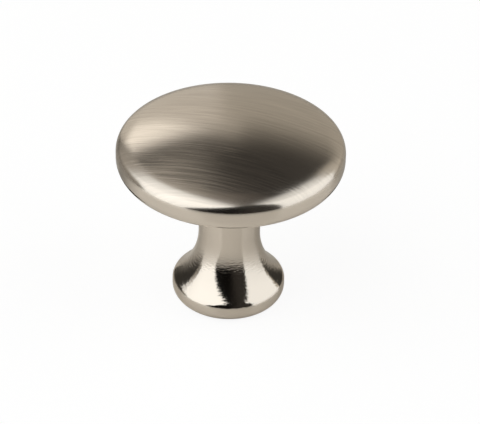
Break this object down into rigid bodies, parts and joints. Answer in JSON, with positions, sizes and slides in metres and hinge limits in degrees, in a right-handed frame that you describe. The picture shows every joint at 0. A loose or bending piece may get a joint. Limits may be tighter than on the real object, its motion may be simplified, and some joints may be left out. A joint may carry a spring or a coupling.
{
  "type": "cabinet knob",
  "caption": "Round mushroom cabinet knob with a shallow domed head, waisted stem, flared foot and a blind threaded hole for a screw from behind the door or drawer front.",
  "frame": {"origin": "centre of the flat seat ring under the foot, in the plane that meets the drawer front", "axes": "+Z out of the drawer front, up the stem's axis to the top of the dome; the knob is round, so +X and +Y are free"},
  "size_m": [0.032, 0.032, 0.0285],
  "materials": {
    "satin_nickel": "satin"
  },
  "bodies": {
    "root": {"knob": "satin_nickel"}
  },
  "joints": []
}
